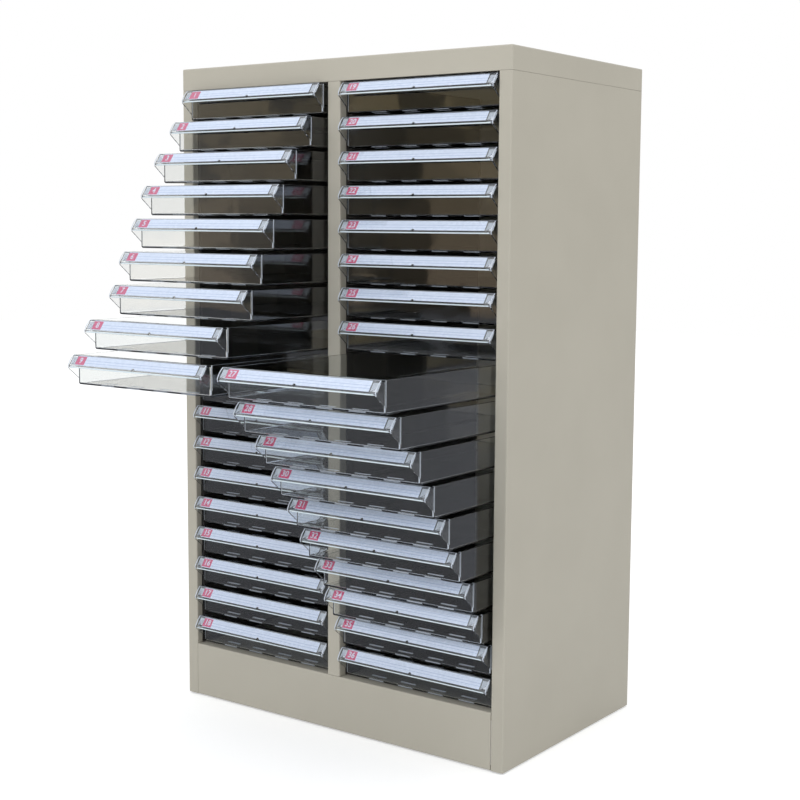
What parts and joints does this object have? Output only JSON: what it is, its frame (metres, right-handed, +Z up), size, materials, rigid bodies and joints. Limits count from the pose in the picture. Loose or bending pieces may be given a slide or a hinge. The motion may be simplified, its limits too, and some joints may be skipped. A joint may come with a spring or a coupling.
{
  "type": "document drawer cabinet",
  "caption": "Folded steel cabinet with columns of shallow clear plastic document drawers that slide out on ledges, each with a sloped label front and a pull lip.",
  "frame": {"origin": "on the floor under the middle of the whole box at rest, drawers that stand out included", "axes": "+Z up, +X to the right seen from the front, the front and the drawers' way out along -Y"},
  "size_m": [0.54, 0.5636, 0.89],
  "materials": {
    "casing_paint": "satin powder coat, warm light grey",
    "rack_paint": "satin paint, dark grey",
    "clear_plastic": "clear glossy moulded polystyrene",
    "glide_plastic": "black moulded plastic"
  },
  "bodies": {
    "casing": {"top_cap": "casing_paint", "side_panel_left": "casing_paint", "side_panel_right": "casing_paint", "centre_partition": "casing_paint", "plinth_front": "casing_paint", "base_deck": "casing_paint", "back_panel": "casing_paint", "rack_left_outer": "rack_paint", "rack_left_inner": "rack_paint", "rack_right_outer": "rack_paint", "rack_right_inner": "rack_paint", "glide_front_left": "glide_plastic", "glide_rear_left": "glide_plastic", "glide_front_right": "glide_plastic", "glide_rear_right": "glide_plastic"},
    "drawer_left_01": {"drawer_left_01": "clear_plastic"},
    "drawer_left_02": {"drawer_left_02": "clear_plastic"},
    "drawer_left_03": {"drawer_left_03": "clear_plastic"},
    "drawer_left_04": {"drawer_left_04": "clear_plastic"},
    "drawer_left_05": {"drawer_left_05": "clear_plastic"},
    "drawer_left_06": {"drawer_left_06": "clear_plastic"},
    "drawer_left_07": {"drawer_left_07": "clear_plastic"},
    "drawer_left_08": {"drawer_left_08": "clear_plastic"},
    "drawer_left_09": {"drawer_left_09": "clear_plastic"},
    "drawer_left_10": {"drawer_left_10": "clear_plastic"},
    "drawer_left_11": {"drawer_left_11": "clear_plastic"},
    "drawer_left_12": {"drawer_left_12": "clear_plastic"},
    "drawer_left_13": {"drawer_left_13": "clear_plastic"},
    "drawer_left_14": {"drawer_left_14": "clear_plastic"},
    "drawer_left_15": {"drawer_left_15": "clear_plastic"},
    "drawer_left_16": {"drawer_left_16": "clear_plastic"},
    "drawer_left_17": {"drawer_left_17": "clear_plastic"},
    "drawer_left_18": {"drawer_left_18": "clear_plastic"},
    "drawer_right_01": {"drawer_right_01": "clear_plastic"},
    "drawer_right_02": {"drawer_right_02": "clear_plastic"},
    "drawer_right_03": {"drawer_right_03": "clear_plastic"},
    "drawer_right_04": {"drawer_right_04": "clear_plastic"},
    "drawer_right_05": {"drawer_right_05": "clear_plastic"},
    "drawer_right_06": {"drawer_right_06": "clear_plastic"},
    "drawer_right_07": {"drawer_right_07": "clear_plastic"},
    "drawer_right_08": {"drawer_right_08": "clear_plastic"},
    "drawer_right_09": {"drawer_right_09": "clear_plastic"},
    "drawer_right_10": {"drawer_right_10": "clear_plastic"},
    "drawer_right_11": {"drawer_right_11": "clear_plastic"},
    "drawer_right_12": {"drawer_right_12": "clear_plastic"},
    "drawer_right_13": {"drawer_right_13": "clear_plastic"},
    "drawer_right_14": {"drawer_right_14": "clear_plastic"},
    "drawer_right_15": {"drawer_right_15": "clear_plastic"},
    "drawer_right_16": {"drawer_right_16": "clear_plastic"},
    "drawer_right_17": {"drawer_right_17": "clear_plastic"},
    "drawer_right_18": {"drawer_right_18": "clear_plastic"}
  },
  "joints": [
    {"name": "slide_left_01", "type": "slide", "parent": "casing", "child": "drawer_left_01", "axis": [0, -1, 0], "range_m": [-0.0155, 0.2345]},
    {"name": "slide_left_02", "type": "slide", "parent": "casing", "child": "drawer_left_02", "axis": [0, -1, 0], "range_m": [-0.0395, 0.2105]},
    {"name": "slide_left_03", "type": "slide", "parent": "casing", "child": "drawer_left_03", "axis": [0, -1, 0], "range_m": [-0.069, 0.181]},
    {"name": "slide_left_04", "type": "slide", "parent": "casing", "child": "drawer_left_04", "axis": [0, -1, 0], "range_m": [-0.094, 0.156]},
    {"name": "slide_left_05", "type": "slide", "parent": "casing", "child": "drawer_left_05", "axis": [0, -1, 0], "range_m": [-0.1125, 0.1375]},
    {"name": "slide_left_06", "type": "slide", "parent": "casing", "child": "drawer_left_06", "axis": [0, -1, 0], "range_m": [-0.13475, 0.11525]},
    {"name": "slide_left_07", "type": "slide", "parent": "casing", "child": "drawer_left_07", "axis": [0, -1, 0], "range_m": [-0.153, 0.097]},
    {"name": "slide_left_08", "type": "slide", "parent": "casing", "child": "drawer_left_08", "axis": [0, -1, 0], "range_m": [-0.1965, 0.0535]},
    {"name": "slide_left_09", "type": "slide", "parent": "casing", "child": "drawer_left_09", "axis": [0, -1, 0], "range_m": [-0.225, 0.025]},
    {"name": "slide_left_10", "type": "slide", "parent": "casing", "child": "drawer_left_10", "axis": [0, -1, 0], "range_m": [0, 0.25]},
    {"name": "slide_left_11", "type": "slide", "parent": "casing", "child": "drawer_left_11", "axis": [0, -1, 0], "range_m": [0, 0.25]},
    {"name": "slide_left_12", "type": "slide", "parent": "casing", "child": "drawer_left_12", "axis": [0, -1, 0], "range_m": [0, 0.25]},
    {"name": "slide_left_13", "type": "slide", "parent": "casing", "child": "drawer_left_13", "axis": [0, -1, 0], "range_m": [0, 0.25]},
    {"name": "slide_left_14", "type": "slide", "parent": "casing", "child": "drawer_left_14", "axis": [0, -1, 0], "range_m": [0, 0.25]},
    {"name": "slide_left_15", "type": "slide", "parent": "casing", "child": "drawer_left_15", "axis": [0, -1, 0], "range_m": [0, 0.25]},
    {"name": "slide_left_16", "type": "slide", "parent": "casing", "child": "drawer_left_16", "axis": [0, -1, 0], "range_m": [0, 0.25]},
    {"name": "slide_left_17", "type": "slide", "parent": "casing", "child": "drawer_left_17", "axis": [0, -1, 0], "range_m": [0, 0.25]},
    {"name": "slide_left_18", "type": "slide", "parent": "casing", "child": "drawer_left_18", "axis": [0, -1, 0], "range_m": [0, 0.25]},
    {"name": "slide_right_01", "type": "slide", "parent": "casing", "child": "drawer_right_01", "axis": [0, -1, 0], "range_m": [0, 0.25]},
    {"name": "slide_right_02", "type": "slide", "parent": "casing", "child": "drawer_right_02", "axis": [0, -1, 0], "range_m": [0, 0.25]},
    {"name": "slide_right_03", "type": "slide", "parent": "casing", "child": "drawer_right_03", "axis": [0, -1, 0], "range_m": [0, 0.25]},
    {"name": "slide_right_04", "type": "slide", "parent": "casing", "child": "drawer_right_04", "axis": [0, -1, 0], "range_m": [0, 0.25]},
    {"name": "slide_right_05", "type": "slide", "parent": "casing", "child": "drawer_right_05", "axis": [0, -1, 0], "range_m": [0, 0.25]},
    {"name": "slide_right_06", "type": "slide", "parent": "casing", "child": "drawer_right_06", "axis": [0, -1, 0], "range_m": [0, 0.25]},
    {"name": "slide_right_07", "type": "slide", "parent": "casing", "child": "drawer_right_07", "axis": [0, -1, 0], "range_m": [0, 0.25]},
    {"name": "slide_right_08", "type": "slide", "parent": "casing", "child": "drawer_right_08", "axis": [0, -1, 0], "range_m": [0, 0.25]},
    {"name": "slide_right_09", "type": "slide", "parent": "casing", "child": "drawer_right_09", "axis": [0, -1, 0], "range_m": [-0.2255, 0.0245]},
    {"name": "slide_right_10", "type": "slide", "parent": "casing", "child": "drawer_right_10", "axis": [0, -1, 0], "range_m": [-0.198, 0.052]},
    {"name": "slide_right_11", "type": "slide", "parent": "casing", "child": "drawer_right_11", "axis": [0, -1, 0], "range_m": [-0.16, 0.09]},
    {"name": "slide_right_12", "type": "slide", "parent": "casing", "child": "drawer_right_12", "axis": [0, -1, 0], "range_m": [-0.132, 0.118]},
    {"name": "slide_right_13", "type": "slide", "parent": "casing", "child": "drawer_right_13", "axis": [0, -1, 0], "range_m": [-0.10075, 0.14925]},
    {"name": "slide_right_14", "type": "slide", "parent": "casing", "child": "drawer_right_14", "axis": [0, -1, 0], "range_m": [-0.0765, 0.1735]},
    {"name": "slide_right_15", "type": "slide", "parent": "casing", "child": "drawer_right_15", "axis": [0, -1, 0], "range_m": [-0.0475, 0.2025]},
    {"name": "slide_right_16", "type": "slide", "parent": "casing", "child": "drawer_right_16", "axis": [0, -1, 0], "range_m": [-0.02825, 0.22175]},
    {"name": "slide_right_17", "type": "slide", "parent": "casing", "child": "drawer_right_17", "axis": [0, -1, 0], "range_m": [-0.0065, 0.2435]},
    {"name": "slide_right_18", "type": "slide", "parent": "casing", "child": "drawer_right_18", "axis": [0, -1, 0], "range_m": [0, 0.25]}
  ]
}
